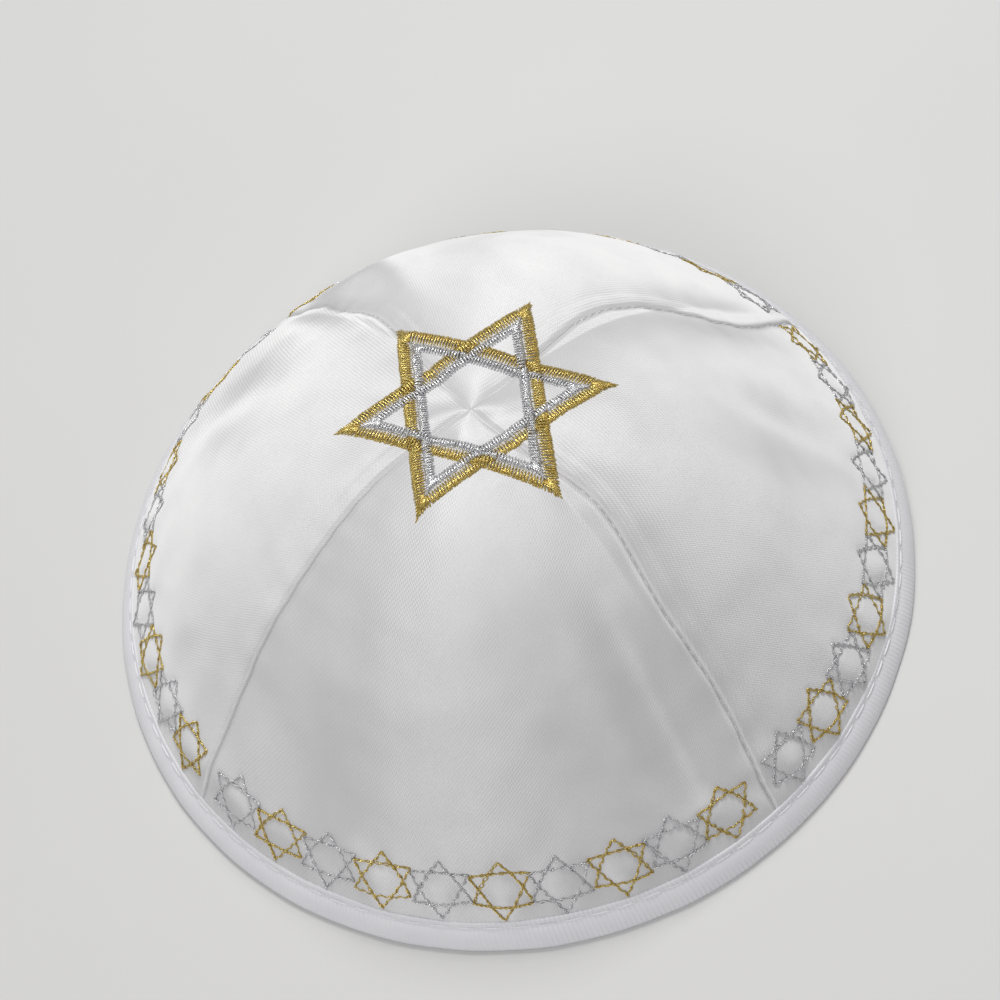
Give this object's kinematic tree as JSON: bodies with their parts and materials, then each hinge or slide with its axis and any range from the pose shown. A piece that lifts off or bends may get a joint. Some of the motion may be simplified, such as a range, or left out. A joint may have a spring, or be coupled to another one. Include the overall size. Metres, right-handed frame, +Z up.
{
  "type": "kippah skullcap",
  "caption": "Shallow domed satin skullcap sewn from quarter panels, with a bound rim and an embroidered star over the crown.",
  "frame": {"origin": "centre of the rim's outline, on the flat fold of the binding that the cap rests on", "axes": "+Z up along the dome's axis, -Y towards the front panel, +X towards the right panel"},
  "size_m": [0.1682, 0.1726, 0.0633],
  "materials": {
    "panel_satin": "white satin with a fine diagonal weave and a soft sheen",
    "binding_satin": "white satin tape cut on the bias, smoother than the panels",
    "gold_thread": "gold metallic embroidery thread in close satin stitch",
    "silver_thread": "silver metallic embroidery thread",
    "sewing_thread": "white sewing thread"
  },
  "bodies": {
    "root": {"front_panel": "panel_satin", "right_panel": "panel_satin", "back_panel": "panel_satin", "left_panel": "panel_satin", "rim_binding": "binding_satin", "crown_star": "gold_thread"}
  },
  "joints": []
}
